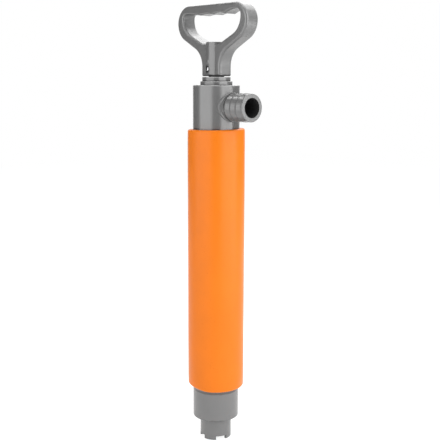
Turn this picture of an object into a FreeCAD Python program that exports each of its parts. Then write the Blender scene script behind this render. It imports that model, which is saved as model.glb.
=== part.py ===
"""Hand bilge pump: a foam-sleeved barrel with a foot valve, a plunger and a side outlet.

All sizes are in millimetres. The origin is on the pump's axis at the bottom of the
intake crown, +Z runs up the barrel, and +X points along the outlet spout. The plunger
is drawn fully pushed down, with both rubber flaps closed.
"""
import FreeCAD, Part
import math
import os

from FreeCAD import Vector

# Clearances
glue_gap = 0.05          # radial, between glued or screwed pieces
run_gap = 0.07           # radial, between pieces that slide or turn on each other
rest_gap = 0.3           # axial, between the pushed-down piston and the foot valve
stroke_gap = 0.5         # axial, left between piston and rod guide at full stroke

# Barrel and foam sleeve
barrel_bore_r = 20.5
barrel_wall = 2.5
sleeve_gap = 0.2
foam_thickness = 8.55
foam_length = 296.9
foam_edge_r = 1.8

# Intake crown
crown_r = 17.9
crown_wall = 3.1
crown_height = 25.8
crown_web = 3.0
crown_edge_r = 0.7
notch_count = 4
notch_width_deg = 42.0
notch_depth = 4.5
first_notch_deg = -18.8

# Foot cap and foot valve
cap_wall = 3.2
cap_floor = 8.2
cap_socket_depth = 28.6
cap_edge_r = 1.0
spigot_wall = 2.8
spigot_relief = 0.4
port_r = 2.6
port_count = 6
foot_port_circle_r = 9.0
seat_thickness = 4.0
flap_overlap = 2.4
flap_thickness = 1.5
foot_flap_lift = 2.8
stem_r = 2.0
stem_head_r = 5.0
stem_head_thickness = 2.0
stem_rivet_r = 3.2
stem_rivet_thickness = 1.6

# Flat seals and O-rings
flat_seal_thickness = 1.6
guide_seal_wire_r = 1.05
spout_seal_wire_r = 0.7
o_ring_gap = 0.05

# Outlet head
head_wall = 2.9
head_socket_depth = 9.3
head_port_land = 1.8
head_chamber_rise = 4.9
head_roof = 5.55
head_edge_r = 1.0

# Outlet spout and its collar on the head
spout_bore_r = 10.7
spout_spigot_wall = 2.5
spout_root_step = 1.0
spout_seat_depth = 2.95
spout_spigot_length = 2.55
spout_root_length = 5.45
barb_pitch = 8.7
barb_count = 3
barb_rise = 1.4
barb_lead = 1.8
barb_land = 1.0
barb_fall = 0.6
barb_edge_r = 0.35
tip_ring_rise = 0.2
tip_ring_length = 2.55
spout_tip_r = 1.2
collar_gap = 0.2
collar_width = 1.8
collar_rise = 1.75
collar_edge_r = 0.8

# Rod, guide and wiper
rod_r = 8.65
rod_wall = 1.75
guide_wall = 4.7
guide_lip = 4.4
guide_flange_thickness = 4.2
guide_bush_length = 34.55
guide_seal_drop = 2.5
wiper_width = 2.8
wiper_thickness = 2.0
cap_plug_depth = 1.0
guide_cap_thickness = 4.75
guide_cap_lip = 4.2
guide_cap_clearance = 0.35
guide_edge_r = 0.5

# Piston
piston_clearance = 0.2
piston_flange_thickness = 4.0
seal_width = 3.4
seal_height = 8.0
piston_port_circle_r = 12.9
piston_port_r = 2.3
rod_seat_depth = 3.0
piston_flap_lift = 3.0
retainer_width = 5.4
retainer_thickness = 3.0
screw_r = 2.5
screw_head_r = 5.0
screw_head_thickness = 3.0
screw_length = 26.0
washer_r = 8.5
washer_thickness = 1.4
plug_length = 24.0

# Handle
handle_gap = 0.9
handle_width = 113.9
handle_height = 76.9
handle_thickness = 17.8
neck_half_width = 15.25
neck_edge_r = 1.3
neck_flare_r = 22.0
shoulder_drop = 18.8     # from the handle's top, as are arm_end_drop and grip_depth
arm_end_drop = 31.5
arm_depth = 11.1         # from the opening's floor down to the start of the arms
grip_depth = 11.3
grip_side_wall = 10.55
opening_height = 31.2
opening_floor_half_width = 13.1
opening_floor_r = 20.0
opening_flank_rise = 15.5
opening_wall_land = 0.7
left_groove_rise = 2.3
left_corner_r = 4.5
right_groove_rise = 4.4
right_corner_r = 6.2
finger_ridges_x = (-18.6, 2.6, 22.0)
finger_groove_rises = (1.0, 1.5)
finger_ridge_r = 3.0
outer_edge_r = 2.8
opening_edge_r = 2.2
boss_wall = 2.9
boss_rise = 2.2          # above the opening's floor
boss_edge_r = 0.8
socket_roof = 3.2
pin_r = 2.15
pin_height = 7.3
pin_turn_deg = 14.5      # clockwise from +Y, seen from above
pin_recess_r = 3.4
pin_recess_depth = 1.8
pin_rise = 0.1
pin_dome_r = 1.2
button_height = 15.6
button_dome_r = 7.0
button_rise = 0.5

# Radii that follow from the sizes above
barrel_r = barrel_bore_r + barrel_wall
socket_r = barrel_r + glue_gap
cap_r = socket_r + cap_wall
head_r = socket_r + head_wall
foam_bore_r = barrel_r + sleeve_gap
foam_r = foam_bore_r + foam_thickness
throat_r = foot_port_circle_r + port_r
spigot_r = throat_r + spigot_wall
rod_bore_r = rod_r - rod_wall
guide_bore_r = rod_r + run_gap
bush_r = guide_bore_r + guide_wall
guide_flange_r = bush_r + guide_lip
wiper_pocket_r = guide_bore_r + wiper_width
guide_cap_r = wiper_pocket_r + guide_cap_lip
spout_spigot_r = spout_bore_r + spout_spigot_wall
spout_root_r = spout_spigot_r + spout_root_step
spout_port_r = spout_spigot_r + glue_gap
spout_crest_r = spout_root_r + barb_rise
spout_tip_ring_r = spout_crest_r - barb_fall + tip_ring_rise
collar_bore_r = spout_root_r + collar_gap
collar_r = collar_bore_r + collar_width
collar_front_r = head_r + collar_rise
rod_socket_r = rod_r + glue_gap
boss_r = rod_socket_r + boss_wall

# Handle sizes that follow, as heights above its bottom
opening_half_width = handle_width / 2 - grip_side_wall
grip_underside_height = handle_height - grip_depth
opening_floor_height = grip_underside_height - opening_height
arm_height = opening_floor_height - arm_depth
arm_end_height = handle_height - arm_end_drop
shoulder_height = handle_height - shoulder_drop
boss_height = opening_floor_height + boss_rise

# Heights that follow, from the foot up
cap_bottom = crown_height
cap_socket_floor = cap_bottom + cap_floor
cap_top = cap_socket_floor + cap_socket_depth
seat_top = cap_socket_floor + seat_thickness
barrel_bottom = seat_top + flat_seal_thickness
foam_top = cap_top + foam_length
head_bottom = foam_top
head_seat = head_bottom + head_socket_depth
barrel_top = head_seat - flat_seal_thickness
spout_height = head_seat + head_port_land + spout_port_r
chamber_top = spout_height + spout_port_r + head_chamber_rise
head_top = chamber_top + head_roof
guide_top = head_top + guide_flange_thickness
bush_bottom = head_top - guide_bush_length
guide_cap_top = guide_top + guide_cap_thickness
handle_bottom = guide_cap_top + handle_gap

# Heights of the pushed-down piston, from the foot valve up
foot_flap_top = seat_top + flap_thickness
stem_head_bottom = foot_flap_top + foot_flap_lift
stem_head_top = stem_head_bottom + stem_head_thickness
screw_bottom = stem_head_top + rest_gap
washer_bottom = screw_bottom + screw_head_thickness
plate_bottom = washer_bottom + washer_thickness
seal_bottom = plate_bottom + piston_flange_thickness
seal_top = seal_bottom + seal_height
piston_top = seal_top + piston_flange_thickness
rod_bottom = piston_top - rod_seat_depth
piston_flap_top = piston_top + flap_thickness
retainer_bottom = piston_flap_top + piston_flap_lift
retainer_top = retainer_bottom + retainer_thickness
socket_top = handle_bottom + boss_height - socket_roof
rod_top = socket_top - rest_gap
stroke = bush_bottom - retainer_top - stroke_gap

AXIS_X = Vector(1, 0, 0)
AXIS_Z = Vector(0, 0, 1)


def disc(radius, bottom, top):
    """Solid round bar on the pump's axis."""
    return Part.makeCylinder(radius, top - bottom, Vector(0, 0, bottom), AXIS_Z)


def ring(outer, inner, bottom, top):
    """Round bar with a bore."""
    return disc(outer, bottom, top).cut(disc(inner, bottom, top))


def turned(profile, start=Vector(0, 0, 0), axis=AXIS_Z):
    """Solid turned from (radius, height) corners round the axis through start."""
    points = [Vector(radius, 0, height) for radius, height in profile]
    face = Part.Face(Part.makePolygon(points + points[:1]))
    solid = face.revolve(Vector(0, 0, 0), AXIS_Z, 360)
    solid.Placement = FreeCAD.Placement(start, FreeCAD.Rotation(AXIS_Z, axis))
    return solid


def o_ring(wire_r, spigot_outer, centre, axis=AXIS_Z):
    """O-ring sunk in a spigot, just short of the spigot's surface."""
    return Part.makeTorus(spigot_outer - o_ring_gap - wire_r, wire_r, centre, axis)


def o_ring_groove(wire_r, spigot_outer, centre, axis=AXIS_Z):
    """Square groove for an O-ring in a spigot."""
    start = centre - axis * wire_r
    floor_r = spigot_outer - 2 * wire_r - o_ring_gap
    bar = Part.makeCylinder(spigot_outer + wire_r, 2 * wire_r, start, axis)
    return bar.cut(Part.makeCylinder(floor_r, 2 * wire_r, start, axis))


def holes(radius, circle_r, bottom, top):
    """Round ports, evenly spaced on a circle."""
    drills = []
    for index in range(port_count):
        angle = 2 * math.pi * index / port_count
        centre = Vector(circle_r * math.cos(angle), circle_r * math.sin(angle), bottom)
        drills.append(Part.makeCylinder(radius, top - bottom, centre, AXIS_Z))
    return Part.makeCompound(drills)


def round_edges(solid, radius, chosen):
    """Fillet the edges that the test picks."""
    edges = [edge for edge in solid.Edges if chosen(edge)]
    return solid.makeFillet(radius, edges)


def rim_at(height, radius):
    """Test for the circular edge of one height and radius."""
    def chosen(edge):
        circle = edge.Curve
        flat = abs(edge.BoundBox.ZMin - height) < 1e-3 and abs(edge.BoundBox.ZMax - height) < 1e-3
        return flat and isinstance(circle, Part.Circle) and abs(circle.Radius - radius) < 1e-3
    return chosen


def rounded_outline(corners):
    """Closed wire in the XZ plane through (x, z, radius) corners, each rounded by its radius."""
    count = len(corners)
    ends = []
    for index, (x, z, radius) in enumerate(corners):
        here = Vector(x, 0, z)
        before = Vector(corners[index - 1][0], 0, corners[index - 1][1]).sub(here).normalize()
        after_x, after_z, _ = corners[(index + 1) % count]
        after = Vector(after_x, 0, after_z).sub(here).normalize()
        half = before.getAngle(after) / 2
        setback = radius / math.tan(half)
        middle = before.add(after).normalize()
        nearest = radius / math.sin(half) - radius
        ends.append((here + before * setback, here + middle * nearest, here + after * setback))
    edges = []
    for index, (first, middle, last) in enumerate(ends):
        following = ends[(index + 1) % count][0]
        edges.append(Part.Arc(first, middle, last).toShape())
        if last.distanceToPoint(following) > 1e-4:
            edges.append(Part.LineSegment(last, following).toShape())
    return Part.Wire(Part.__sortEdges__(edges))


def slab(wire, thickness):
    """Plate of a thickness, centred on the XZ plane."""
    plate = Part.Face(wire).extrude(Vector(0, thickness, 0))
    plate.translate(Vector(0, -thickness / 2, 0))
    return plate


def make_intake_crown():
    """Notched foot, with the spigot that enters the foot cap."""
    bore_r = crown_r - crown_wall
    profile = [
        (crown_r, 0), (crown_r, crown_height), (spigot_r, crown_height),
        (spigot_r, cap_socket_floor - spigot_relief), (throat_r, cap_socket_floor - spigot_relief),
        (throat_r, crown_height - crown_web), (bore_r, crown_height - crown_web), (bore_r, 0),
    ]
    crown = turned(profile)
    crown = round_edges(crown, crown_edge_r, rim_at(0, crown_r))
    half = math.radians(notch_width_deg / 2)
    reach = crown_r / math.cos(half) + crown_wall
    wedge_points = [Vector(0, 0, 0)]
    for side in (-half, half):
        wedge_points.append(Vector(reach * math.cos(side), reach * math.sin(side), 0))
    wedge = Part.Face(Part.makePolygon(wedge_points + wedge_points[:1]))
    notch = wedge.extrude(Vector(0, 0, notch_depth))
    for index in range(notch_count):
        cutter = notch.copy()
        turn = first_notch_deg + 360 * index / notch_count
        cutter.rotate(Vector(0, 0, 0), AXIS_Z, turn)
        crown = crown.cut(cutter)
    return crown


def make_foot_cap():
    """Cap that carries barrel, foot valve and crown."""
    cap = disc(cap_r, cap_bottom, cap_top)
    cap = round_edges(cap, cap_edge_r, rim_at(cap_bottom, cap_r))
    cap = cap.cut(disc(spigot_r + glue_gap, cap_bottom, cap_socket_floor))
    return cap.cut(disc(socket_r, cap_socket_floor, cap_top))


def make_foot_valve_seat():
    """Ported disc at the bottom of the cap's socket."""
    seat = disc(socket_r - glue_gap, cap_socket_floor, seat_top)
    seat = seat.cut(holes(port_r, foot_port_circle_r, cap_socket_floor, seat_top))
    return seat.cut(disc(stem_r + glue_gap, cap_socket_floor, seat_top))


def make_foot_valve_stem():
    """Headed stem, riveted under the seat."""
    stem = disc(stem_r, cap_socket_floor, stem_head_bottom)
    head = disc(stem_head_r, stem_head_bottom, stem_head_top)
    rivet = disc(stem_rivet_r, cap_socket_floor - stem_rivet_thickness, cap_socket_floor)
    return stem.fuse([head, rivet]).removeSplitter()


def make_foot_valve_flap():
    """Rubber disc that lies on the seat's ports."""
    outer = foot_port_circle_r + port_r + flap_overlap
    return ring(outer, stem_r + run_gap, seat_top, foot_flap_top)


def make_flat_seal(bottom):
    """Flat rubber ring on one end of the barrel."""
    return ring(barrel_r - glue_gap, barrel_bore_r + glue_gap, bottom, bottom + flat_seal_thickness)


def make_float_sleeve():
    """Foam tube round the barrel, between cap and head."""
    sleeve = disc(foam_r, cap_top, foam_top)
    for height in (cap_top, foam_top):
        sleeve = round_edges(sleeve, foam_edge_r, rim_at(height, foam_r))
    return sleeve.cut(disc(foam_bore_r, cap_top, foam_top))


def side_bar(radius, start, end):
    """Round bar along +X at the outlet's height."""
    return Part.makeCylinder(radius, end - start, Vector(start, 0, spout_height), AXIS_X)


def make_outlet_head():
    """Head with socket, chamber, roof, and the round collar that holds the outlet."""
    head = disc(head_r, head_bottom, head_top)
    head = round_edges(head, head_edge_r, rim_at(head_top, head_r))
    collar = side_bar(collar_r, 0, collar_front_r)
    head = head.fuse(collar.common(disc(collar_front_r, head_bottom, head_top))).removeSplitter()

    def on_collar_rim(edge):
        middle = edge.valueAt((edge.FirstParameter + edge.LastParameter) / 2)
        off_outlet = math.hypot(middle.y, middle.z - spout_height)
        off_pump = math.hypot(middle.x, middle.y)
        return abs(off_outlet - collar_r) < 1e-2 and abs(off_pump - collar_front_r) < 1e-2

    head = round_edges(head, collar_edge_r, on_collar_rim)
    head = head.cut(side_bar(collar_bore_r, head_r - spout_seat_depth, 2 * collar_front_r))
    head = head.cut(disc(socket_r, head_bottom, head_seat))
    head = head.cut(disc(barrel_bore_r, head_seat, chamber_top))
    head = head.cut(disc(bush_r + glue_gap, chamber_top, head_top))
    return head.cut(side_bar(spout_port_r, 0, 2 * collar_front_r))


def spout_shoulder():
    """Distance from the pump's axis at which the spout seats in the head."""
    return head_r - spout_seat_depth + glue_gap


def spout_seal_centre():
    """Middle of the O-ring on the spout's spigot."""
    return Vector(spout_shoulder() - spout_spigot_length / 2, 0, spout_height)


def guide_seal_centre():
    """Middle of the O-ring on the rod guide's bush."""
    return Vector(0, 0, head_top - guide_seal_drop)


def spout_profile():
    """(radius, distance from the pump's axis) corners of the barbed outlet."""
    shoulder = spout_shoulder()
    inner_end = shoulder - spout_spigot_length
    distance = shoulder + spout_root_length
    profile = [
        (spout_bore_r, inner_end), (spout_spigot_r, inner_end),
        (spout_spigot_r, shoulder), (spout_root_r, shoulder), (spout_root_r, distance),
    ]
    for index in range(barb_count):
        profile.append((spout_crest_r, distance + barb_lead))
        profile.append((spout_crest_r, distance + barb_lead + barb_land))
        distance += barb_pitch
        profile.append((spout_crest_r - barb_fall, distance))
    tip = distance + tip_ring_length
    return profile + [(spout_tip_ring_r, distance), (spout_tip_ring_r, tip), (spout_bore_r, tip)]


def make_spout():
    """Barbed outlet tube."""
    profile = spout_profile()
    spout = turned(profile, Vector(0, 0, spout_height), AXIS_X)
    tip = profile[-1][1]

    def at_tip(edge):
        return edge.BoundBox.XMin > tip - 1e-3 and edge.BoundBox.YMax > spout_tip_ring_r - 1e-2

    def on_crest(edge):
        return isinstance(edge.Curve, Part.Circle) and abs(edge.Curve.Radius - spout_crest_r) < 1e-3

    spout = round_edges(spout, spout_tip_r, at_tip)
    spout = round_edges(spout, barb_edge_r, on_crest)
    return spout.cut(o_ring_groove(spout_seal_wire_r, spout_spigot_r, spout_seal_centre(), AXIS_X))


def make_rod_guide():
    """Flanged bush that guides the rod through the head's roof."""
    profile = [
        (bush_r, bush_bottom), (bush_r, head_top), (guide_flange_r, head_top),
        (guide_flange_r, guide_top), (wiper_pocket_r, guide_top),
        (wiper_pocket_r, guide_top - wiper_thickness - cap_plug_depth),
        (guide_bore_r, guide_top - wiper_thickness - cap_plug_depth), (guide_bore_r, bush_bottom),
    ]
    guide = turned(profile)
    for height in (head_top, guide_top):
        guide = round_edges(guide, guide_edge_r, rim_at(height, guide_flange_r))
    return guide.cut(o_ring_groove(guide_seal_wire_r, bush_r, guide_seal_centre()))


def make_rod_wiper():
    """Rubber ring that wipes the rod."""
    bottom = guide_top - wiper_thickness - cap_plug_depth
    return ring(wiper_pocket_r - glue_gap, guide_bore_r, bottom, bottom + wiper_thickness)


def make_guide_cap():
    """Ring that holds the wiper in the guide."""
    bore_r = rod_r + guide_cap_clearance
    profile = [
        (bore_r, guide_top - cap_plug_depth), (wiper_pocket_r - glue_gap, guide_top - cap_plug_depth),
        (wiper_pocket_r - glue_gap, guide_top), (guide_cap_r, guide_top),
        (guide_cap_r, guide_cap_top), (bore_r, guide_cap_top),
    ]
    cap = turned(profile)
    for height in (guide_top, guide_cap_top):
        cap = round_edges(cap, guide_edge_r, rim_at(height, guide_cap_r))
    return cap


def make_piston_rod():
    """Hollow rod, cross-drilled for the handle's pin."""
    rod = ring(rod_r, rod_bore_r, rod_bottom, rod_top)
    return rod.cut(pin_bar(pin_r + glue_gap, boss_r))


def make_rod_plug():
    """Plug glued in the rod's lower end, bored for the piston screw."""
    plug = disc(rod_bore_r - glue_gap, rod_bottom, rod_bottom + plug_length)
    return plug.cut(disc(screw_r + glue_gap, rod_bottom, washer_bottom + screw_length + rest_gap))


def piston_hub_r():
    """Radius of the piston's waist, inside its rubber seal."""
    return barrel_bore_r - seal_width - piston_clearance


def make_piston_body():
    """Ported piston with the waist for its seal and the seat for the rod."""
    piston = disc(piston_hub_r(), seal_bottom, piston_top)
    piston = piston.fuse(disc(barrel_bore_r - piston_clearance, seal_top, piston_top)).removeSplitter()
    piston = piston.cut(disc(rod_r + glue_gap, rod_bottom, piston_top))
    piston = piston.cut(disc(screw_r + glue_gap, seal_bottom, rod_bottom))
    return piston.cut(holes(piston_port_r, piston_port_circle_r, seal_bottom, piston_top))


def make_piston_plate():
    """Ported plate that closes the seal's groove from below."""
    plate = disc(barrel_bore_r - piston_clearance, plate_bottom, seal_bottom)
    plate = plate.cut(disc(screw_r + glue_gap, plate_bottom, seal_bottom))
    return plate.cut(holes(piston_port_r, piston_port_circle_r, plate_bottom, seal_bottom))


def make_piston_seal():
    """Rubber ring that slides in the barrel and lets the piston turn inside it."""
    return ring(barrel_bore_r - run_gap, piston_hub_r() + run_gap, seal_bottom, seal_top)


def make_piston_flap():
    """Rubber ring that lies on the piston's ports."""
    outer = piston_port_circle_r + piston_port_r + flap_overlap
    return ring(outer, rod_r + run_gap, piston_top, piston_flap_top)


def make_flap_retainer():
    """Collar glued on the rod, which limits the flap's lift."""
    return ring(rod_r + retainer_width, rod_r + glue_gap, retainer_bottom, retainer_top)


def make_piston_screw():
    """Screw through plate and piston into the rod plug."""
    head = disc(screw_head_r, screw_bottom, washer_bottom)
    slot = Part.makeBox(2 * screw_head_r, screw_head_thickness / 2, screw_head_thickness / 2,
                        Vector(-screw_head_r, -screw_head_thickness / 4, screw_bottom))
    shank = disc(screw_r, washer_bottom, washer_bottom + screw_length)
    return head.fuse(shank).removeSplitter().cut(slot)


def make_piston_washer():
    """Washer under the screw's head."""
    return ring(washer_r, screw_r + glue_gap, washer_bottom, plate_bottom)


def handle_outline():
    """Outer outline of neck, arms and grip bar, with the neck drawn longer than it is."""
    half_width = handle_width / 2
    slope = math.atan2(arm_end_height - arm_height, half_width - neck_half_width)
    lower_r = (shoulder_height - arm_end_height) / math.tan((math.pi / 2 - slope) / 2)
    side = [
        (neck_half_width, -2 * outer_edge_r, outer_edge_r + glue_gap),
        (neck_half_width, arm_height, neck_flare_r),
        (half_width, arm_end_height, lower_r), (half_width, handle_height, shoulder_drop),
    ]
    corners = [(x, handle_bottom + z, radius) for x, z, radius in side]
    return rounded_outline(corners + [(-x, z, radius) for x, z, radius in reversed(corners)])


def level_arc(ridge, corner_top):
    """Groove from a ridge that runs level into the corner of the opening."""
    across = corner_top.x - ridge.x
    rise = corner_top.z - ridge.z
    radius = (across ** 2 + rise ** 2) / (2 * rise)
    half_turn = math.asin(abs(across) / radius) / 2
    side = math.copysign(1, across)
    middle_x = corner_top.x - side * radius * math.sin(half_turn)
    middle_z = corner_top.z - radius * (1 - math.cos(half_turn))
    return Part.Arc(ridge, Vector(middle_x, 0, middle_z), corner_top).toShape()


def opening_side(side, groove_rise, corner_r):
    """One half of the opening's outline, from the floor's middle up to the corner's top.

    Returns the edges and the corner's top.
    """
    slope = math.atan2(opening_flank_rise, opening_half_width - opening_floor_half_width)
    floor_z = handle_bottom + opening_floor_height
    wall_foot = floor_z + opening_flank_rise
    corner_z = handle_bottom + grip_underside_height + groove_rise - corner_r
    lower_r = (corner_z - opening_wall_land - wall_foot) / math.tan((math.pi / 2 - slope) / 2)

    def rounding(corner, arriving, leaving, radius):
        setback = radius * math.tan(arriving.getAngle(leaving) / 2)
        start = corner - arriving * setback
        end = corner + leaving * setback
        inward = (leaving - arriving).normalize()
        nearest = radius / math.cos(arriving.getAngle(leaving) / 2) - radius
        return start, corner + inward * nearest, end

    outward = Vector(side, 0, 0)
    flank = Vector(side * math.cos(slope), 0, math.sin(slope))
    floor_corner = Vector(side * opening_floor_half_width, 0, floor_z)
    wall_corner = Vector(side * opening_half_width, 0, wall_foot)
    floor_arc = rounding(floor_corner, outward, flank, opening_floor_r)
    wall_arc = rounding(wall_corner, flank, AXIS_Z, lower_r)
    corner_centre = Vector(side * (opening_half_width - corner_r), 0, corner_z)
    corner_start = corner_centre + outward * corner_r
    corner_middle = corner_centre + (outward + AXIS_Z).normalize() * corner_r
    corner_top = corner_centre + AXIS_Z * corner_r
    edges = [
        Part.LineSegment(Vector(0, 0, floor_z), floor_arc[0]),
        Part.Arc(*floor_arc),
        Part.LineSegment(floor_arc[2], wall_arc[0]),
        Part.Arc(*wall_arc),
        Part.LineSegment(wall_arc[2], corner_start),
        Part.Arc(corner_start, corner_middle, corner_top),
    ]
    return [edge.toShape() for edge in edges], corner_top


def opening_outline():
    """Outline of the finger opening, with a shallow groove for each finger."""
    left_edges, left_top = opening_side(-1, left_groove_rise, left_corner_r)
    right_edges, right_top = opening_side(1, right_groove_rise, right_corner_r)
    underside = handle_bottom + grip_underside_height
    ridges = [Vector(x, 0, underside) for x in finger_ridges_x]
    edges = left_edges + right_edges
    edges.append(level_arc(ridges[0], left_top))
    edges.append(level_arc(ridges[-1], right_top))
    for start, end, rise in zip(ridges, ridges[1:], finger_groove_rises):
        top = (start + end) * 0.5 + AXIS_Z * rise
        edges.append(Part.Arc(start, top, end).toShape())
    return Part.Wire(Part.__sortEdges__(edges))


def pin_axis():
    """Direction of the pin, which goes nearly straight through the handle's neck."""
    turn = math.radians(pin_turn_deg)
    return Vector(math.sin(turn), math.cos(turn), 0)


def pin_bar(radius, half_length):
    """Round bar across the handle's neck, where the pin goes."""
    start = Vector(0, 0, handle_bottom + pin_height) - pin_axis() * half_length
    return Part.makeCylinder(radius, 2 * half_length, start, pin_axis())


def make_button():
    """Ball whose top stands out of the neck's face as a flat moulded button over the pin."""
    middle = Vector(0, 0, handle_bottom + button_height)
    return Part.makeSphere(button_dome_r, middle - pin_axis() * (boss_r + button_rise - button_dome_r))


def make_opening():
    """Body of the finger opening, with its ridges rounded."""
    opening = slab(opening_outline(), 2 * handle_thickness)
    underside = handle_bottom + grip_underside_height

    def is_ridge(edge):
        box = edge.BoundBox
        across = box.XLength < 1e-3 and box.ZLength < 1e-3
        on_ridge = min(abs(box.XMin - x) for x in finger_ridges_x) < 1e-2
        return across and on_ridge and box.ZMin > underside - 1

    return round_edges(opening, finger_ridge_r, is_ridge)


def make_handle():
    """D-grip with flared neck, rod socket and the pin's recesses."""
    frame = slab(handle_outline(), handle_thickness)
    face_y = handle_thickness / 2

    def on_face(edge):
        return abs(abs(edge.BoundBox.YMin) - face_y) < 1e-3 and edge.BoundBox.YLength < 1e-3

    def on_bottom(edge):
        return edge.BoundBox.ZMax < handle_bottom + 1e-3

    frame = round_edges(frame, outer_edge_r, on_face)
    frame = frame.cut(disc(handle_width, handle_bottom - 3 * outer_edge_r, handle_bottom))
    frame = round_edges(frame, neck_edge_r, on_bottom)
    opening = make_opening()
    frame = frame.cut(opening)
    walls = Part.makeCompound([face for face in opening.Faces if face.BoundBox.YLength > face_y])

    def on_opening(edge):
        middle = edge.valueAt((edge.FirstParameter + edge.LastParameter) / 2)
        return on_face(edge) and Part.Vertex(middle).distToShape(walls)[0] < 1e-3

    frame = round_edges(frame, opening_edge_r, on_opening)
    boss_top = handle_bottom + boss_height
    boss = disc(boss_r, handle_bottom, boss_top)
    boss = round_edges(boss, boss_edge_r, rim_at(boss_top, boss_r))
    boss = round_edges(boss, neck_edge_r, rim_at(handle_bottom, boss_r))
    handle = frame.fuse([boss, make_button()]).removeSplitter()
    handle = handle.cut(disc(rod_socket_r, handle_bottom, socket_top))
    handle = handle.cut(pin_bar(pin_r + glue_gap, boss_r))
    floor_y = boss_r - pin_recess_depth
    recess = pin_bar(pin_recess_r, boss_r + 1).cut(pin_bar(pin_recess_r, floor_y))
    return handle.cut(recess)


def make_handle_pin():
    """Cross pin with domed ends, which show in the neck's recesses."""
    half_length = boss_r + pin_rise
    return round_edges(pin_bar(pin_r, half_length), pin_dome_r,
                       lambda edge: isinstance(edge.Curve, Part.Circle))


def make_parts():
    """All sub-parts by name."""
    return {
        "intake_crown": make_intake_crown(),
        "foot_cap": make_foot_cap(),
        "foot_valve_seat": make_foot_valve_seat(),
        "foot_valve_stem": make_foot_valve_stem(),
        "foot_valve_flap": make_foot_valve_flap(),
        "foot_seal": make_flat_seal(seat_top),
        "barrel": ring(barrel_r, barrel_bore_r, barrel_bottom, barrel_top),
        "float_sleeve": make_float_sleeve(),
        "head_seal": make_flat_seal(barrel_top),
        "outlet_head": make_outlet_head(),
        "spout": make_spout(),
        "spout_seal": o_ring(spout_seal_wire_r, spout_spigot_r, spout_seal_centre(), AXIS_X),
        "rod_guide": make_rod_guide(),
        "guide_seal": o_ring(guide_seal_wire_r, bush_r, guide_seal_centre()),
        "rod_wiper": make_rod_wiper(),
        "guide_cap": make_guide_cap(),
        "piston_rod": make_piston_rod(),
        "rod_plug": make_rod_plug(),
        "piston_body": make_piston_body(),
        "piston_plate": make_piston_plate(),
        "piston_seal": make_piston_seal(),
        "piston_flap": make_piston_flap(),
        "flap_retainer": make_flap_retainer(),
        "piston_screw": make_piston_screw(),
        "piston_washer": make_piston_washer(),
        "handle": make_handle(),
        "handle_pin": make_handle_pin(),
    }


def main():
    """Write one file for each sub-part."""
    os.makedirs("parts", exist_ok=True)
    for name, shape in make_parts().items():
        if not shape.isValid() or not shape.Solids:
            raise ValueError(name + " has no valid solid")
        shape.exportStep("parts/" + name + ".step")
        print(name, len(shape.Solids), round(shape.Volume, 1))
    print("stroke", round(stroke, 3), "overall height", round(handle_bottom + handle_height, 3))


main()
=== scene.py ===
"""Looks for the hand bilge pump: finishes for every solid, the foam sleeve, studio and camera."""
import logging
import math
from dataclasses import dataclass
from enum import Enum
from typing import Callable, Sequence

import bpy
from mathutils import Matrix, Vector


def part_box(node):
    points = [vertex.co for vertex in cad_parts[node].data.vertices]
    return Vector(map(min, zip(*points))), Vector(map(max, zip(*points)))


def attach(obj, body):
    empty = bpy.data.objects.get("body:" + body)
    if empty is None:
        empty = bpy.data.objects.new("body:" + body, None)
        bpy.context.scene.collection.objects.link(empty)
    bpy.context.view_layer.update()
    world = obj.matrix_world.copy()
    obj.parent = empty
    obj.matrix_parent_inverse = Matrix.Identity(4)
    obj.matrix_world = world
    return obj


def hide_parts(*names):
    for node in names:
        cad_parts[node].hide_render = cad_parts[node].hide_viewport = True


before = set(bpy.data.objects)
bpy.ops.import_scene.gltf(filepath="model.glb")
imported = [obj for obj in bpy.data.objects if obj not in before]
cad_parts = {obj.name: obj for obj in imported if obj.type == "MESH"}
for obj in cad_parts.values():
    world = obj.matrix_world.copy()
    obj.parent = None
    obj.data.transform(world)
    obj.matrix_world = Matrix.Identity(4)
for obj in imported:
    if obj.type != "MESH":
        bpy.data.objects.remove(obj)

log = logging.getLogger("bilge_pump")
MM = 0.001
Colour = tuple[float, float, float]


class Slot(str, Enum):
    """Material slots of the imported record."""

    HOUSING = "grey_housing"
    HANDLE = "grey_handle"
    FOAM = "orange_foam"
    BARREL = "barrel_tube"
    ROD = "rod_tube"
    INNER = "inner_plastic"
    RUBBER = "black_rubber"
    STEEL = "steel"


class Body(str, Enum):
    """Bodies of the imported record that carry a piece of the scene."""

    PUMP = "pump_body"


def linear(colour: Colour) -> tuple[float, float, float, float]:
    """Turn a screen colour into the linear one that a shader takes.

    Args:
        colour: red, green and blue from 0 to 255.

    Returns:
        The linear colour with an alpha of 1.
    """
    def channel(value: float) -> float:
        """Turn one channel of the colour."""
        share = value / 255
        return share / 12.92 if share <= 0.04045 else ((share + 0.055) / 1.055) ** 2.4

    return (channel(colour[0]), channel(colour[1]), channel(colour[2]), 1.0)


def grey(level: float) -> tuple[float, float, float, float]:
    """Give the linear grey of a level from 0 to 1."""
    return (level, level, level, 1.0)


def ease(share: float) -> float:
    """Go smoothly from 0 to 1 as the share does, and stay there outside."""
    held = min(1.0, max(0.0, share))
    return held * held * (3 - 2 * held)


def deselect_all() -> None:
    """Leave edit mode and clear the selection."""
    if bpy.context.object and bpy.context.object.mode != "OBJECT":
        bpy.ops.object.mode_set(mode="OBJECT")
    bpy.ops.object.select_all(action="DESELECT")


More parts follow.
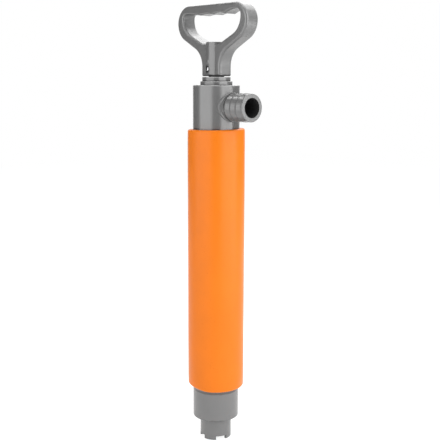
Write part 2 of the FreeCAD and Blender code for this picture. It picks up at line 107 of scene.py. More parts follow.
class Graph:
    """A small hand for wiring one node tree."""

    def __init__(self, tree: bpy.types.NodeTree) -> None:
        """Keep the tree to work on."""
        self.tree = tree

    def add(self, kind: str, **inputs: object) -> bpy.types.Node:
        """Add a node and set or wire its inputs.

        Args:
            kind: node type name without the ShaderNode prefix.
            inputs: attribute or socket values; a socket name has _ for a space, and i0, i1
                name an input by its place.

        Returns:
            The new node.
        """
        node = self.tree.nodes.new("ShaderNode" + kind)
        for name, value in inputs.items():
            if name[0] == "i" and name[1:].isdigit():
                self.put(node.inputs[int(name[1:])], value)
            elif hasattr(node, name):
                setattr(node, name, value)
            else:
                self.put(node.inputs[name.replace("_", " ")], value)
        return node

    def put(self, socket: bpy.types.NodeSocket, value: object) -> None:
        """Wire a socket to another one, or set its value."""
        if isinstance(value, bpy.types.NodeSocket):
            self.tree.links.new(value, socket)
        else:
            socket.default_value = value

    def math(self, operation: str, first: object, second: object = 0.0,
             third: object = 0.0) -> bpy.types.NodeSocket:
        """Add a maths node and give its output."""
        return self.add("Math", operation=operation, i0=first, i1=second, i2=third).outputs[0]

    def remap(self, value: object, low: float, high: float, to_low: object,
              to_high: object) -> bpy.types.NodeSocket:
        """Map a value from one range to another, clamped and smooth."""
        node = self.add("MapRange", interpolation_type="SMOOTHSTEP",
                        i0=value, i1=low, i2=high, i3=to_low, i4=to_high)
        return node.outputs[0]

    def bump(self, height: object, strength: float, distance: float,
             **under: object) -> bpy.types.NodeSocket:
        """Turn a height into a normal, on top of another one if Normal is given."""
        node = self.add("Bump", Height=height, Strength=strength, Distance=distance, **under)
        return node.outputs[0]

    def where(self) -> bpy.types.NodeSocket:
        """Give the object's own coordinates."""
        return self.add("TexCoord").outputs["Object"]

    def noise(self, where: object, scale: object, detail: float = 2.0) -> bpy.types.NodeSocket:
        """Add a noise of a scale per metre and give its value."""
        return self.add("TexNoise", Vector=where, Scale=scale, Detail=detail).outputs["Fac"]

    def blend(self, share: object, first: object, second: object) -> bpy.types.NodeSocket:
        """Mix two colours and give the result."""
        return self.add("Mix", data_type="RGBA", i0=share, i6=first, i7=second).outputs[2]

    def scale(self, vector: object, factor: object) -> bpy.types.NodeSocket:
        """Scale a vector or a colour."""
        return self.add("VectorMath", operation="SCALE", i0=vector, Scale=factor).outputs[0]

    def less(self, vector: object, other: object) -> bpy.types.NodeSocket:
        """Take one vector from another."""
        return self.add("VectorMath", operation="SUBTRACT", i0=vector, i1=other).outputs[0]

    def dot(self, vector: object, other: object) -> bpy.types.NodeSocket:
        """Multiply two vectors into one value."""
        node = self.add("VectorMath", operation="DOT_PRODUCT", i0=vector, i1=other)
        return node.outputs["Value"]

    def about(self, centre: object,
              axis: object) -> tuple[bpy.types.NodeSocket, bpy.types.NodeSocket]:
        """Measure a place from an axis.

        Args:
            centre: a point of the axis.
            axis: the axis's direction, one unit long.

        Returns:
            How far along the axis the place lies, and how far from it.
        """
        offset = self.less(self.where(), centre)
        along = self.dot(offset, axis)
        side = self.less(offset, self.scale(axis, along))
        return along, self.add("VectorMath", operation="LENGTH", i0=side).outputs["Value"]


class Effect:
    """A surface effect that several finishes share, as one node group."""

    def __init__(self, name: str, inputs: Sequence[tuple[str, str, object]],
                 outputs: Sequence[tuple[str, str]]) -> None:
        """Make the empty group.

        Args:
            name: the effect's name.
            inputs: name, socket kind and default of each input.
            outputs: name and socket kind of each output.
        """
        self.tree = bpy.data.node_groups.new(name, "ShaderNodeTree")
        sockets = self.tree.interface
        for label, kind, default in inputs:
            socket = sockets.new_socket(label, in_out="INPUT", socket_type="NodeSocket" + kind)
            socket.default_value = default
        for label, kind in outputs:
            sockets.new_socket(label, in_out="OUTPUT", socket_type="NodeSocket" + kind)
        self.graph = Graph(self.tree)
        self.given = self.tree.nodes.new("NodeGroupInput").outputs
        self.result = self.tree.nodes.new("NodeGroupOutput").inputs

    def put(self, **values: object) -> None:
        """Wire the group's outputs, with _ for a space in their names."""
        for name, value in values.items():
            self.graph.put(self.result[name.replace("_", " ")], value)

    def use(self, graph: Graph, **inputs: object) -> bpy.types.bpy_prop_collection:
        """Place the effect in a material.

        Args:
            graph: the material's graph.
            inputs: values of the group's inputs, with _ for a space.

        Returns:
            The outputs of the placed group.
        """
        node = graph.tree.nodes.new("ShaderNodeGroup")
        node.node_tree = self.tree
        for name, value in inputs.items():
            graph.put(node.inputs[name.replace("_", " ")], value)
        return node.outputs


class Effects:
    """All shared effects, each made once."""

    def __init__(self) -> None:
        """Make the groups."""
        self.skin = self.make_skin()
        self.parting = self.make_parting()
        self.turning = self.make_turning()
        self.cells = self.make_cells()
        self.hole = self.make_hole()
        self.band = self.make_band()

    @staticmethod
    def make_skin() -> Effect:
        """Make the satin skin of moulded plastic: fine grain, cloudy colour and uneven gloss."""
        effect = Effect(
            "moulded skin",
            [("Colour", "Color", (0.2, 0.2, 0.2, 1)), ("Clouding", "Float", 0.1),
             ("Roughness", "Float", 0.3), ("Gloss Spread", "Float", 0.05),
             ("Grain Per Metre", "Float", 2500.0)],
            [("Colour", "Color"), ("Roughness", "Float"), ("Height", "Float")],
        )
        graph, given = effect.graph, effect.given
        where = graph.where()
        clouds = graph.noise(where, 45.0, 3.0)
        streaks = graph.add("Mapping", Vector=where, Scale=(1.0, 1.0, 0.18)).outputs[0]
        flow = graph.noise(streaks, 260.0)
        grain = graph.noise(where, given["Grain Per Metre"], 1.5)
        shade = graph.math("ADD", graph.remap(clouds, 0.3, 0.7, -0.5, 0.5),
                           graph.remap(flow, 0.3, 0.7, -0.25, 0.25))
        tint = graph.math("MULTIPLY_ADD", shade, given["Clouding"], 1.0)
        gloss = graph.math("MULTIPLY_ADD", graph.remap(flow, 0.25, 0.75, -1.0, 1.0),
                           given["Gloss Spread"], given["Roughness"])
        effect.put(Colour=graph.scale(given["Colour"], tint), Roughness=gloss, Height=grain)
        return effect

    @staticmethod
    def make_parting() -> Effect:
        """Make the faint parting line that a two-part mould leaves in the plane Y = 0."""
        effect = Effect(
            "parting line",
            [("Half Width", "Float", 0.2 * MM), ("Wander", "Float", 0.08 * MM)],
            [("Mask", "Float")],
        )
        graph, given = effect.graph, effect.given
        where = graph.where()
        across = graph.add("SeparateXYZ", Vector=where).outputs["Y"]
        sway = graph.remap(graph.noise(where, 90.0), 0.3, 0.7, -1.0, 1.0)
        off = graph.math("ABSOLUTE", graph.math("MULTIPLY_ADD", sway, given["Wander"], across))
        near = graph.math("DIVIDE", off, given["Half Width"])
        effect.put(Mask=graph.remap(near, 0.3, 1.0, 1.0, 0.0))
        return effect

    @staticmethod
    def make_turning() -> Effect:
        """Make fine rings round an axis, as drawing and turning leave them."""
        effect = Effect(
            "turning rings",
            [("Along", "Vector", (0, 0, 1)), ("Rings Per Metre", "Float", 3000.0)],
            [("Height", "Float")],
        )
        graph, given = effect.graph, effect.given
        line = graph.add("CombineXYZ", X=graph.dot(graph.where(), given["Along"])).outputs[0]
        effect.put(Height=graph.noise(line, given["Rings Per Metre"]))
        return effect

    @staticmethod
    def make_cells() -> Effect:
        """Make closed foam cells: small pits, a soft nap and cloudy colour."""
        effect = Effect(
            "foam cells",
            [("Colour", "Color", (0.9, 0.3, 0.05, 1)),
             ("Pit Colour", "Color", (0.7, 0.2, 0.03, 1)),
             ("Clouding", "Float", 0.1), ("Cells Per Metre", "Float", 900.0)],
            [("Colour", "Color"), ("Roughness", "Float"), ("Height", "Float")],
        )
        graph, given = effect.graph, effect.given
        where, cells = graph.where(), given["Cells Per Metre"]
        wobble = graph.add("TexNoise", Vector=where, Scale=500.0).outputs["Color"]
        pulled = graph.add("Mix", data_type="RGBA", blend_type="LINEAR_LIGHT",
                           i0=1.2 * MM, i6=where, i7=wobble).outputs[2]
        cell = graph.add("TexVoronoi", Vector=pulled, Scale=cells).outputs["Distance"]
        pores = graph.add("TexVoronoi", Vector=pulled, Scale=graph.math("MULTIPLY", cells, 0.31))
        pit = graph.remap(pores.outputs["Distance"], 0.05, 0.22, 1.0, 0.0)
        clouds = graph.remap(graph.noise(where, 30.0, 4.0), 0.3, 0.7, -0.5, 0.5)
        tint = graph.math("MULTIPLY_ADD", clouds, given["Clouding"], 1.0)
        colour = graph.blend(graph.math("MULTIPLY", pit, 0.25),
                             graph.scale(given["Colour"], tint), given["Pit Colour"])
        gloss = graph.remap(clouds, -0.5, 0.5, 0.33, 0.4)
        height = graph.math("SUBTRACT", graph.math("MULTIPLY", cell, 0.6),
                            graph.math("MULTIPLY", pit, 0.8))
        effect.put(Colour=colour, Roughness=gloss, Height=height)
        return effect

    @staticmethod
    def make_hole() -> Effect:
        """Make a mask of what lies inside a round hole, on the side that its axis points to."""
        effect = Effect(
            "shaded hole",
            [("Centre", "Vector", (0, 0, 0)), ("Axis", "Vector", (1, 0, 0)),
             ("Radius", "Float", 10 * MM), ("Start", "Float", -1.0)],
            [("Mask", "Float")],
        )
        graph, given = effect.graph, effect.given
        along, radius = graph.about(given["Centre"], given["Axis"])
        inside = graph.remap(graph.math("DIVIDE", radius, given["Radius"]), 1.0, 1.03, 1.0, 0.0)
        beyond = graph.math("GREATER_THAN", along, given["Start"])
        effect.put(Mask=graph.math("MULTIPLY", inside, beyond))
        return effect

    @staticmethod
    def make_band() -> Effect:
        """Make a mask of a narrow band round an axis, where a painted highlight or painted shade
        goes.
        """
        effect = Effect(
            "edge band",
            [("Centre", "Vector", (0, 0, 0)), ("Axis", "Vector", (0, 0, 1)),
             ("Half Width", "Float", MM), ("Inner Radius", "Float", 0.0)],
            [("Mask", "Float")],
        )
        graph, given = effect.graph, effect.given
        along, radius = graph.about(given["Centre"], given["Axis"])
        wander = graph.remap(graph.noise(graph.where(), 160.0), 0.3, 0.7, 0.75, 1.2)
        reach = graph.math("MULTIPLY", given["Half Width"], wander)
        near = graph.math("DIVIDE", graph.math("ABSOLUTE", along), reach)
        outside = graph.math("GREATER_THAN", radius, given["Inner Radius"])
        effect.put(Mask=graph.math("MULTIPLY", graph.remap(near, 0.35, 1.0, 1.0, 0.0), outside))
        return effect


@dataclass(frozen=True)
class Band:
    """A narrow band round an axis: a painted highlight along a rim, or painted shade in a crease.
    """

    centre: tuple[float, float, float]
    half_width: float
    inner_radius: float
    colour: Colour
    share: float
    axis: tuple[float, float, float] = (0.0, 0.0, 1.0)
    dulling: float = 0.0


@dataclass(frozen=True)
class Hole:
    """A round hole whose walls are coloured dark as painted shade."""

    centre: tuple[float, float, float]
    axis: tuple[float, float, float]
    radius: float
    start: float = -1.0
    colour: Colour = (40, 40, 40)
    dulling: float = 0.3


@dataclass(frozen=True)
class Plastic:
    """Satin moulded plastic."""

    name: str
    colour: Colour
    roughness: float = 0.25
    specular: float = 0.9
    clouding: float = 0.03
    gloss_spread: float = 0.012
    grain_per_metre: float = 2600.0
    grain_depth: float = 0.02
    parting_line: bool = False
    parting_depth: float = 0.4
    holes: tuple[Hole, ...] = ()
    bands: tuple[Band, ...] = ()

    def make(self, effects: Effects) -> bpy.types.Material:
        """Build the material.

        Args:
            effects: the shared node groups.

        Returns:
            The finished material.
        """
        material, graph, shader = new_material(self.name)
        skin = effects.skin.use(
            graph, Colour=linear(self.colour), Clouding=self.clouding, Roughness=self.roughness,
            Gloss_Spread=self.gloss_spread, Grain_Per_Metre=self.grain_per_metre)
        colour, roughness = skin["Colour"], skin["Roughness"]
        # Holes and bands paint light and shade into the colour: painted shade in hollows and
        # creases, painted highlights on rims.
        for hole in self.holes:
            mask = effects.hole.use(graph, Centre=hole.centre, Axis=hole.axis, Radius=hole.radius,
                                    Start=hole.start)["Mask"]
            colour = graph.blend(mask, colour, linear(hole.colour))
            roughness = graph.math("MULTIPLY_ADD", mask, hole.dulling, roughness)
        for band in self.bands:
            mask = effects.band.use(graph, Centre=band.centre, Axis=band.axis,
                                    Half_Width=band.half_width,
                                    Inner_Radius=band.inner_radius)["Mask"]
            share = graph.math("MULTIPLY", mask, band.share)
            colour = graph.blend(share, colour, linear(band.colour))
            roughness = graph.math("MULTIPLY_ADD", mask, band.dulling, roughness)
        graph.put(shader.inputs["Base Color"], colour)
        graph.put(shader.inputs["Roughness"], roughness)
        shader.inputs["Specular IOR Level"].default_value = self.specular
        normal = graph.bump(skin["Height"], self.grain_depth, 0.2 * MM)
        if self.parting_line:
            line = effects.parting.use(graph)["Mask"]
            normal = graph.bump(line, self.parting_depth, 0.12 * MM, Normal=normal)
        graph.put(shader.inputs["Normal"], normal)
        return material


@dataclass(frozen=True)
class Foam:
    """Closed-cell foam with a soft nap."""

    name: str
    colour: Colour
    pit_colour: Colour
    specular: float = 0.25
    clouding: float = 0.05
    cells_per_metre: float = 900.0
    nap_depth: float = 0.12

    def make(self, effects: Effects) -> bpy.types.Material:
        """Build the material.

        Args:
            effects: the shared node groups.

        Returns:
            The finished material.
        """
        material, graph, shader = new_material(self.name)
        cells = effects.cells.use(
            graph, Colour=linear(self.colour), Pit_Colour=linear(self.pit_colour),
            Clouding=self.clouding, Cells_Per_Metre=self.cells_per_metre)
        graph.put(shader.inputs["Base Color"], cells["Colour"])
        graph.put(shader.inputs["Roughness"], cells["Roughness"])
        shader.inputs["Specular IOR Level"].default_value = self.specular
        normal = graph.bump(cells["Height"], self.nap_depth, 0.4 * MM)
        graph.put(shader.inputs["Normal"], normal)
        return material


@dataclass(frozen=True)
class Turned:
    """Drawn or turned stock with fine rings: metal, tube or rubber."""

    name: str
    colour: Colour
    roughness: float
    metallic: float = 0.0
    along: tuple[float, float, float] = (0.0, 0.0, 1.0)
    rings_per_metre: float = 3000.0
    ring_depth: float = 0.05
    clouding: float = 0.1
    gloss_spread: float = 0.05

    def make(self, effects: Effects) -> bpy.types.Material:
        """Build the material.

        Args:
            effects: the shared node groups.

        Returns:
            The finished material.
        """
        material, graph, shader = new_material(self.name)
        skin = effects.skin.use(
            graph, Colour=linear(self.colour), Clouding=self.clouding, Roughness=self.roughness,
            Gloss_Spread=self.gloss_spread)
        rings = effects.turning.use(graph, Along=self.along, Rings_Per_Metre=self.rings_per_metre)
        graph.put(shader.inputs["Base Color"], skin["Colour"])
        graph.put(shader.inputs["Roughness"], skin["Roughness"])
        shader.inputs["Metallic"].default_value = self.metallic
        normal = graph.bump(rings["Height"], self.ring_depth, 0.1 * MM)
        graph.put(shader.inputs["Normal"], normal)
        return material


def bare_material(name: str) -> tuple[bpy.types.Material, Graph]:
    """Make a material without nodes.

    Args:
        name: the material's name.

    Returns:
        The material and its graph.
    """
    material = bpy.data.materials.new(name)
    material.use_nodes = True
    material.node_tree.nodes.clear()
    return material, Graph(material.node_tree)


def new_material(name: str) -> tuple[bpy.types.Material, Graph, bpy.types.Node]:
    """Make an empty material with one Principled shader.

    Args:
        name: the material's name.

    Returns:
        The material, its graph and its shader node.
    """
    material, graph = bare_material(name)
    shader = graph.add("BsdfPrincipled")
    graph.add("OutputMaterial", Surface=shader.outputs[0])
    return material, graph, shader


class Wardrobe:
    """Every finish of the pump, made once."""

    PIN_TURN = math.radians(14.5)
    PIN_RECESS = 4.2 * MM
    BORE = 10.75 * MM
    SPOUT_JOINT = 14.0 * MM
    SKIN_DEPTH = 1.0 * MM
    GREY: Colour = (101, 101, 101)
    # Painted light: a lighter copy of the housing grey stands in for the extra light on the foot.
    FOOT_LIT_GREY: Colour = (105, 105, 105)

    def __init__(self) -> None:
        """Build the shared effects and the materials."""
        effects = Effects()
        self.materials = {slot: finish.make(effects) for slot, finish in self.finishes().items()}
        # The foot gets the lighter copy of the housing grey (painted light) and bands of painted
        # shade.
        self.foot = Plastic("foot plastic", self.FOOT_LIT_GREY, bands=self.foot_painted_shade()).make(effects)

    @staticmethod
    def rim(name: str) -> Band:
        """Give the painted highlight along the top rim of a round piece."""
        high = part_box(name)[1]
        # Painted highlight: a lighter band just under the top rim.
        return Band(centre=(0, 0, high.z - 0.35 * MM), half_width=0.9 * MM,
                    inner_radius=high.y - 1.1 * MM, colour=(166, 166, 166), share=0.5)

    def foot_painted_shade(self) -> tuple[Band, ...]:
        """Give the painted shade under the foam and under the cap."""
        low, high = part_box("foot_cap")
        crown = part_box("intake_crown")[1]
        return (
            # Painted shade: a dark band on the cap under the foam's overhang.
            Band(centre=(0, 0, high.z - 3.2 * MM), half_width=2.0 * MM,
                 inner_radius=high.y - self.SKIN_DEPTH, colour=(56, 48, 42), share=0.7),
            # Painted shade: a dark band on the crown under the cap.
            Band(centre=(0, 0, low.z - 1.2 * MM), half_width=3.2 * MM,
                 inner_radius=crown.y - self.SKIN_DEPTH, colour=(50, 50, 50), share=0.55),
        )

    def head_painted_shade(self, spout_level: float) -> tuple[Band, ...]:
        """Give the painted shade of the head.

        Args:
            spout_level: height of the spout's middle.

        Returns:
            The painted shade under the head and round the spout.
        """
        low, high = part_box("outlet_head")
        return (
            # Painted shade: a dark band along the bottom of the head, above the foam.
            Band(centre=(0, 0, low.z + 0.3 * MM), half_width=1.3 * MM,
                 inner_radius=high.y - self.SKIN_DEPTH, colour=(50, 50, 50), share=0.75),
            # Painted shade: a dark ring round the spout's root.
            Band(centre=(high.x + 0.1 * MM, 0, spout_level), half_width=0.9 * MM,
                 inner_radius=self.SPOUT_JOINT, colour=(30, 30, 30), share=0.85,
                 axis=(1.0, 0.0, 0.0)),
        )

    def housing(self) -> Plastic:
        """Choose the finish of head, spout, guide and guide cap."""
        low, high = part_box("spout")
        level = (low.z + high.z) / 2
        # Painted shade: the bore's walls are coloured dark for the shade inside the spout.
        bore = Hole((0.0, 0.0, level), (1.0, 0.0, 0.0), self.BORE, start=0.0)
        cap_low, cap_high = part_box("guide_cap")
        # Painted shade: a dark band under the guide cap, where its crease lies in shadow.
        painted_shade_band = Band(centre=(0, 0, cap_low.z + 1.75 * MM), half_width=1.1 * MM,
                     inner_radius=cap_high.y - 1.1 * MM, colour=(45, 45, 45), share=0.6)
        # Rim bands are painted highlights; the band under the guide cap and the head's bands are
        # painted shade.
        painted_light_bands = (self.rim("outlet_head"), painted_shade_band, self.rim("rod_guide"), self.rim("guide_cap"))
        return Plastic("housing plastic", self.GREY, holes=(bore,),
                       bands=painted_light_bands + self.head_painted_shade(level))

    def handle(self) -> Plastic:
        """Choose the finish of the handle."""
        low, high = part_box("handle_pin")
        # Painted shade: the pin's recess is coloured near black for the shade round the pin.
        recess_shade = Hole((0.0, 0.0, (low.z + high.z) / 2),
                      (math.sin(self.PIN_TURN), math.cos(self.PIN_TURN), 0.0), self.PIN_RECESS,
                      colour=(22, 22, 22))
        # Painted shade: a dark band along the bottom edge of the handle's neck.
        painted_shade_band = Band(centre=(0, 0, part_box("handle")[0].z + 0.1 * MM), half_width=2.3 * MM,
                     inner_radius=0.0, colour=(26, 26, 26), share=0.95, dulling=0.7)
        return Plastic("handle plastic", self.GREY, parting_line=True, holes=(recess_shade,),
                       bands=(painted_shade_band,))

    def finishes(self) -> dict[Slot, "Plastic | Foam | Turned"]:
        """Choose a finish for every slot.

        Returns:
            The finish of each slot.
        """
        return {
            Slot.HOUSING: self.housing(),
            Slot.HANDLE: self.handle(),
            Slot.FOAM: Foam("orange foam", (226, 117, 16), (196, 90, 10)),
            Slot.BARREL: Turned("barrel tube", (214, 216, 214), 0.35),
            Slot.ROD: Turned("rod tube", (42, 43, 45), 0.35),
            Slot.INNER: Plastic("valve plastic", (196, 197, 194), roughness=0.4, specular=0.5),
            Slot.RUBBER: Turned("black rubber", (30, 30, 31), 0.62, ring_depth=0.02),
            Slot.STEEL: Turned("pin steel", (226, 226, 228), 0.22, metallic=1.0,
                               along=(1.0, 0.0, 1.0)),
        }

    def paint(self, piece: bpy.types.Object, material: bpy.types.Material) -> None:
        """Give a piece one material all over."""
        if not piece.data.materials:
            piece.data.materials.append(None)
        for index in range(len(piece.data.materials)):
            piece.data.materials[index] = material

    def dress(self, piece: bpy.types.Object, slot: Slot) -> None:
        """Give a piece the finish of its slot."""
        self.paint(piece, self.materials[slot])

    def dress_all(self, names: Sequence[str], slot: Slot) -> None:
        """Give the solids of these names the finish of their slot."""
        for name in names:
            self.dress(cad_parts[name], slot)
            log.info("dressed %s as %s", name, slot.value)


@dataclass
class PumpBody:
    """Foot, head, outlet and guide, with what they hold."""

    foot: tuple[str, ...] = ("intake_crown", "foot_cap")
    housing: tuple[str, ...] = ("outlet_head", "spout", "rod_guide", "guide_cap")
    tube: tuple[str, ...] = ("barrel",)
    valve: tuple[str, ...] = ("foot_valve_seat", "foot_valve_stem")
    rubber: tuple[str, ...] = ("foot_seal", "head_seal", "spout_seal", "guide_seal", "rod_wiper",
                               "foot_valve_flap")

    def dress(self, wardrobe: Wardrobe) -> None:
        """Dress the solids of the pump's body."""
        for names, slot in ((self.housing, Slot.HOUSING), (self.tube, Slot.BARREL),
                            (self.valve, Slot.INNER), (self.rubber, Slot.RUBBER)):
            wardrobe.dress_all(names, slot)
        for name in self.foot:
            wardrobe.paint(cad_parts[name], wardrobe.foot)
            log.info("dressed %s as foot plastic", name)


@dataclass
class Plunger:
    """Handle, rod and piston."""

    grip: tuple[str, ...] = ("handle",)
    rod: tuple[str, ...] = ("piston_rod",)
    metal: tuple[str, ...] = ("handle_pin", "piston_screw", "piston_washer")
    piston: tuple[str, ...] = ("rod_plug", "piston_body", "piston_plate", "flap_retainer")
    rubber: tuple[str, ...] = ("piston_seal", "piston_flap")

    def dress(self, wardrobe: Wardrobe) -> None:
        """Dress the solids of the plunger."""
        for names, slot in ((self.grip, Slot.HANDLE), (self.rod, Slot.ROD),
                            (self.metal, Slot.STEEL), (self.piston, Slot.INNER),
                            (self.rubber, Slot.RUBBER)):
            wardrobe.dress_all(names, slot)


@dataclass
class FoamSleeve:
    """Foam tube that floats the pump, with soft cut edges."""

    edge_round: float = 1.9 * MM
    edge_steps: int = 5
    around: int = 96
    rows: int = 24
    unevenness: float = 0.35 * MM
    swell: float = 0.22 * MM
    lump_size: float = 45 * MM
    slope_azimuth: float = 48.5
    top_slope: float = 1.5 * MM
    hem_lift: float = 2.4 * MM
    hem_reach: float = 6 * MM
    end_reach: float = 14 * MM
    bore_gap: float = 0.2 * MM
    skin_depth: float = 0.3 * MM
    fade_reach: float = 6 * MM
    tolerance: float = 0.01 * MM

    def build(self) -> bpy.types.Object:
        """Model the sleeve as a spun wall section and return it."""
        low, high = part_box("float_sleeve")
        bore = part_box("barrel")[1].x + self.bore_gap
        outer = high.x
        middle = ((bore + outer) / 2, 0, (low.z + high.z) / 2)
        deselect_all()
        bpy.ops.mesh.primitive_plane_add(size=1, location=middle, rotation=(math.pi / 2, 0, 0))
        sleeve = bpy.context.object
        sleeve.name = sleeve.data.name = "foam_sleeve"
        sleeve.scale = (outer - bore, high.z - low.z, 1)
        bpy.ops.object.transform_apply(location=True, rotation=True, scale=True)
        bpy.ops.object.mode_set(mode="EDIT")
        bpy.ops.mesh.delete(type="ONLY_FACE")
        self.choose(sleeve, lambda point: point.x > outer - MM)
        bpy.ops.mesh.bevel(offset=self.edge_round, segments=self.edge_steps, affect="VERTICES")
        self.choose(sleeve, lambda point: point.x > outer - self.tolerance)
        bpy.ops.mesh.subdivide(number_cuts=self.rows)
        bpy.ops.mesh.select_all(action="SELECT")
        bpy.ops.mesh.spin(steps=self.around, angle=2 * math.pi, center=(0, 0, 0), axis=(0, 0, 1))
        bpy.ops.mesh.select_all(action="SELECT")
        bpy.ops.mesh.remove_doubles(threshold=self.tolerance)
        bpy.ops.mesh.normals_make_consistent(inside=False)
        bpy.ops.object.mode_set(mode="OBJECT")
        self.soften(sleeve, low.z, high.z, outer)
        self.trim_ends(sleeve, low.z, high.z, outer)
        bpy.ops.object.shade_smooth_by_angle(angle=math.radians(50))
        return sleeve

    @staticmethod
    def choose(piece: bpy.types.Object, test: Callable[[Vector], bool]) -> None:
        """Select the vertices, and what they bound, whose place passes the test."""
        bpy.ops.mesh.select_all(action="DESELECT")
        bpy.ops.object.mode_set(mode="OBJECT")
        for vertex in piece.data.vertices:
            vertex.select = test(vertex.co)
        for edge in piece.data.edges:
            edge.select = all(piece.data.vertices[index].select for index in edge.vertices)
        bpy.ops.object.mode_set(mode="EDIT")

    def soften(self, sleeve: bpy.types.Object, bottom: float, top: float, outer: float) -> None:
        """Give the outer wall the slight waviness of cut foam, and keep ends and bore true."""
        wall = sleeve.vertex_groups.new(name="wall")
        for vertex in sleeve.data.vertices:
            radius = math.hypot(vertex.co.x, vertex.co.y)
            inset = min(vertex.co.z - bottom, top - vertex.co.z)
            if radius > outer - self.skin_depth and inset > 0:
                wall.add([vertex.index], min(1.0, inset / self.fade_reach), "REPLACE")
        lumps = bpy.data.textures.new("foam lumps", "CLOUDS")
        lumps.noise_scale = self.lump_size
        lumps.noise_depth = 1
        wave = sleeve.modifiers.new("wave", "DISPLACE")
        wave.texture = lumps
        wave.texture_coords = "LOCAL"
        wave.vertex_group = wall.name
        wave.strength = self.unevenness
        wave.mid_level = 0.5 - self.swell / self.unevenness
        bpy.ops.object.modifier_apply(modifier=wave.name)

    def trim_ends(self, sleeve: bpy.types.Object, bottom: float, top: float, outer: float) -> None:
        """Let the hand-cut ends run a little out of square."""
        turn = math.radians(self.slope_azimuth)

        def across(point: Vector) -> float:
            """Go from -1 at the low side to 1 at the high side."""
            return (point.x * math.cos(turn) + point.y * math.sin(turn)) / outer

        def near_top(point: Vector) -> float:
            """Go from 0 below the end to 1 at the top."""
            return ease((point.z - top) / self.end_reach + 1)

        def hem(point: Vector) -> float:
            """Go up to 1 at the bottom's outer rim, on the low side."""
            rim = ease((math.hypot(point.x, point.y) - outer) / self.hem_reach + 1)
            side = ease((-across(point) - 0.2) / 0.8)
            return rim * side * ease((bottom - point.z) / self.end_reach + 1)

        self.lift(sleeve, "top drop", -self.top_slope / 2, near_top)
        self.lift(sleeve, "top slope", self.top_slope,
                  lambda point: near_top(point) * (across(point) + 1) / 2)
        self.lift(sleeve, "hem lift", self.hem_lift, hem)

    @staticmethod
    def lift(sleeve: bpy.types.Object, name: str, amount: float,
             share: Callable[[Vector], float]) -> None:
        """Raise the vertices of a piece.

        Args:
            sleeve: the piece.
            name: name of the vertex group and modifier.
            amount: the full rise in metres.
            share: gives the part of the rise, from 0 to 1, that a place gets.
        """
        group = sleeve.vertex_groups.new(name=name)
        for vertex in sleeve.data.vertices:
            group.add([vertex.index], max(0.0, share(vertex.co)), "REPLACE")
        push = sleeve.modifiers.new(name, "DISPLACE")
        push.direction = "Z"
        push.vertex_group = group.name
        push.strength = amount
        push.mid_level = 0.0
        bpy.ops.object.modifier_apply(modifier=push.name)

    def finish(self, wardrobe: Wardrobe) -> None:
        sleeve = self.build()
        wardrobe.dress(sleeve, Slot.FOAM)
        sleeve.visible_glossy = False
        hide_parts("float_sleeve")
        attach(sleeve, Body.PUMP.value)
        log.info("foam_sleeve rides on %s", Body.PUMP.value)


def spot(facing: float, azimuth: float, distance: float, level: float) -> tuple[Vector, float]:
    """Find a place round the pump.

    Args:
        facing: azimuth of the camera, in degrees.
        azimuth: how far round from the camera the place lies, in degrees.
        distance: how far out it lies.
        level: its height.

    Returns:
        The place, and its turn round the pump in radians.
    """
    turn = math.radians(facing + azimuth)
    return Vector((distance * math.sin(turn), -distance * math.cos(turn), level)), turn


@dataclass(frozen=True)
class Lamp:
    """A softbox that faces the pump, in metres and degrees."""

    name: str
    azimuth: float
    distance: float
    level: float
    width: float
    height: float
    radiance: float
    tilt: float = 0.0

    def place(self, facing: float) -> None:
        """Add the lamp.

        Args:
            facing: azimuth of the camera, in degrees.
        """
        data = bpy.data.lights.new(self.name, "AREA")
        data.shape = "RECTANGLE"
        data.size, data.size_y = self.width, self.height
        data.energy = self.radiance * math.pi * self.width * self.height
        lamp = bpy.data.objects.new(self.name, data)
        lamp.location, turn = spot(facing, self.azimuth, self.distance, self.level)
        lamp.rotation_euler = (math.pi / 2 - math.radians(self.tilt), 0, turn)
        lamp.visible_camera = False
        bpy.context.scene.collection.objects.link(lamp)


@dataclass(frozen=True)
class Flag:
    """A plain dark card that only reflections see, as in a photographer's studio."""

    name: str
    azimuth: float
    distance: float
    half_angle: float
    bottom: float
    top: float
    level: float

    def place(self, facing: float) -> None:
        """Add the card.

        Args:
            facing: azimuth of the camera, in degrees.
        """
        width = 2 * self.distance * math.tan(math.radians(self.half_angle))
        centre, turn = spot(facing, self.azimuth, self.distance, (self.top + self.bottom) / 2)
        deselect_all()
        bpy.ops.mesh.primitive_plane_add(size=1, location=centre, rotation=(math.pi / 2, 0, turn))
        card = bpy.context.object
        card.name = self.name
        card.scale = (width, self.top - self.bottom, 1)
        bpy.ops.object.transform_apply(location=True, rotation=True, scale=True)
        card.visible_camera = card.visible_diffuse = card.visible_shadow = False
        card.visible_transmission = False
        material, graph = bare_material(self.name)
        glow = graph.add("Emission", Color=grey(self.level), Strength=1.0)
        graph.add("OutputMaterial", Surface=glow.outputs[0])
        card.data.materials.append(material)


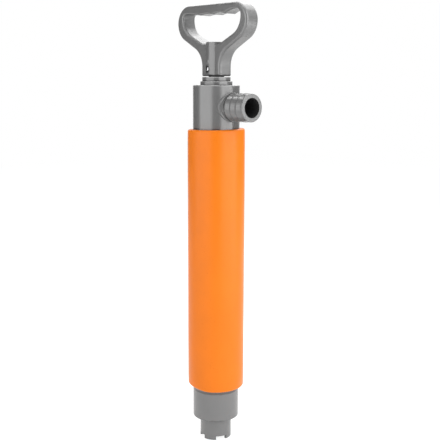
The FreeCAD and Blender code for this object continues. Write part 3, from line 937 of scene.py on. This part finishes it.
@dataclass
class Studio:
    """White room, floor, lamps and the camera of the photograph."""

    camera_azimuth: float = 48.5
    camera_distance: float = 0.9413
    camera_height: float = 0.412
    camera_pitch: float = 9.376
    camera_yaw: float = math.degrees(0.0047)
    camera_roll: float = math.degrees(0.0028)
    focal_share: float = 841.36 / 440
    sensor: float = 36.0
    ambient: float = 0.32
    floor_matt: float = 0.85
    floor_glow: float = 0.9
    floor_shade: float = 0.28
    floor_size: float = 6.0
    lamps: tuple[Lamp, ...] = (
        Lamp("left softbox", -54.5, 1.3, 0.55, 1.77, 1.1, 1.75),
        Lamp("right softbox", 51.0, 1.3, 1.0, 1.45, 2.0, 2.55),
        Lamp("side strip", 78.4, 0.394, 0.25, 0.061, 0.37, 2.5),
        Lamp("rear softbox", 146.0, 1.0, 1.3, 1.3, 1.0, 2.4, tilt=38.0),
        Lamp("rear strip", -171.0, 1.1, 1.04, 0.28, 0.22, 4.5, tilt=30.0),
        Lamp("top strip", -124.0, 0.73, 1.48, 0.36, 0.36, 4.6, tilt=56.0),
        Lamp("overhead softbox", 0.0, 0.0, 1.7, 1.0, 1.0, 3.0, tilt=90.0),
    )
    flags: tuple[Flag, ...] = (
        Flag("front card", 1.4, 1.6, 21.8, 0.0, 1.6, 0.1),
        Flag("left card", -120.0, 1.3, 31.0, 0.1, 2.0, 0.12),
        Flag("right card", 115.0, 1.35, 35.0, 0.1, 1.0, 0.12),
        Flag("rear card", -165.0, 1.2, 18.0, 0.85, 2.2, 0.15),
    )

    def place_camera(self) -> None:
        """Put the camera where the photograph was taken."""
        data = bpy.data.cameras.new("camera")
        data.sensor_width = self.sensor
        data.lens = self.focal_share * self.sensor
        data.clip_start, data.clip_end = 0.01, 100.0
        camera = bpy.data.objects.new("camera", data)
        place, turn = spot(self.camera_azimuth, 0.0, self.camera_distance, self.camera_height)
        swing = Matrix.Rotation(turn - math.radians(self.camera_yaw), 4, "Z")
        tilt = Matrix.Rotation(math.pi / 2 - math.radians(self.camera_pitch), 4, "X")
        roll = Matrix.Rotation(math.radians(self.camera_roll), 4, "Z")
        camera.matrix_world = Matrix.Translation(place) @ swing @ tilt @ roll
        bpy.context.scene.collection.objects.link(camera)
        bpy.context.scene.camera = camera

    @staticmethod
    def seen(graph: Graph) -> bpy.types.NodeSocket:
        """Give 1 on rays that see the background: camera, glossy and transmission rays."""
        path = graph.add("LightPath").outputs
        near = graph.math("MAXIMUM", path["Is Camera Ray"], path["Is Glossy Ray"])
        return graph.math("MAXIMUM", near, path["Is Transmission Ray"])

    def light_room(self) -> None:
        """Make the world white where it is seen, and a soft fill elsewhere."""
        world = bpy.data.worlds.new("white room")
        world.use_nodes = True
        graph = Graph(world.node_tree)
        world.node_tree.nodes.clear()
        fill = graph.add("Background", Color=grey(1.0), Strength=self.ambient)
        white = graph.add("Background", Color=grey(1.0), Strength=1.0)
        mix = graph.add("MixShader", i0=self.seen(graph), i1=fill.outputs[0], i2=white.outputs[0])
        graph.add("OutputWorld", Surface=mix.outputs[0])
        bpy.context.scene.world = world
        for lamp in self.lamps:
            lamp.place(self.camera_azimuth)
        for flag in self.flags:
            flag.place(self.camera_azimuth)

    def lay_floor(self) -> None:
        """Lay a pale floor that looks white and keeps a soft shadow."""
        deselect_all()
        bpy.ops.mesh.primitive_plane_add(size=self.floor_size, location=(0, 0, 0))
        floor = bpy.context.object
        floor.name = "floor"
        material, graph = bare_material("white floor")
        matt = graph.add("BsdfDiffuse", Color=grey(self.floor_matt))
        shade = graph.add("BsdfDiffuse", Color=grey(self.floor_shade))
        glow = graph.add("Emission", Color=grey(1.0), Strength=self.floor_glow)
        white = graph.add("AddShader", i0=shade.outputs[0], i1=glow.outputs[0])
        mix = graph.add("MixShader", i0=self.seen(graph), i1=matt.outputs[0], i2=white.outputs[0])
        graph.add("OutputMaterial", Surface=mix.outputs[0])
        floor.data.materials.append(material)

    def build(self) -> None:
        """Set up the whole studio."""
        bpy.context.scene.view_settings.view_transform = "Standard"
        self.place_camera()
        self.light_room()
        self.lay_floor()
        log.info("studio ready")


def main() -> None:
    """Dress the pump, build its soft piece and light it."""
    logging.basicConfig(level=logging.INFO, format="%(name)s: %(message)s")
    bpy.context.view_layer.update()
    Studio().build()
    wardrobe = Wardrobe()
    PumpBody().dress(wardrobe)
    Plunger().dress(wardrobe)
    FoamSleeve().finish(wardrobe)


if __name__ == "__main__":
    main()
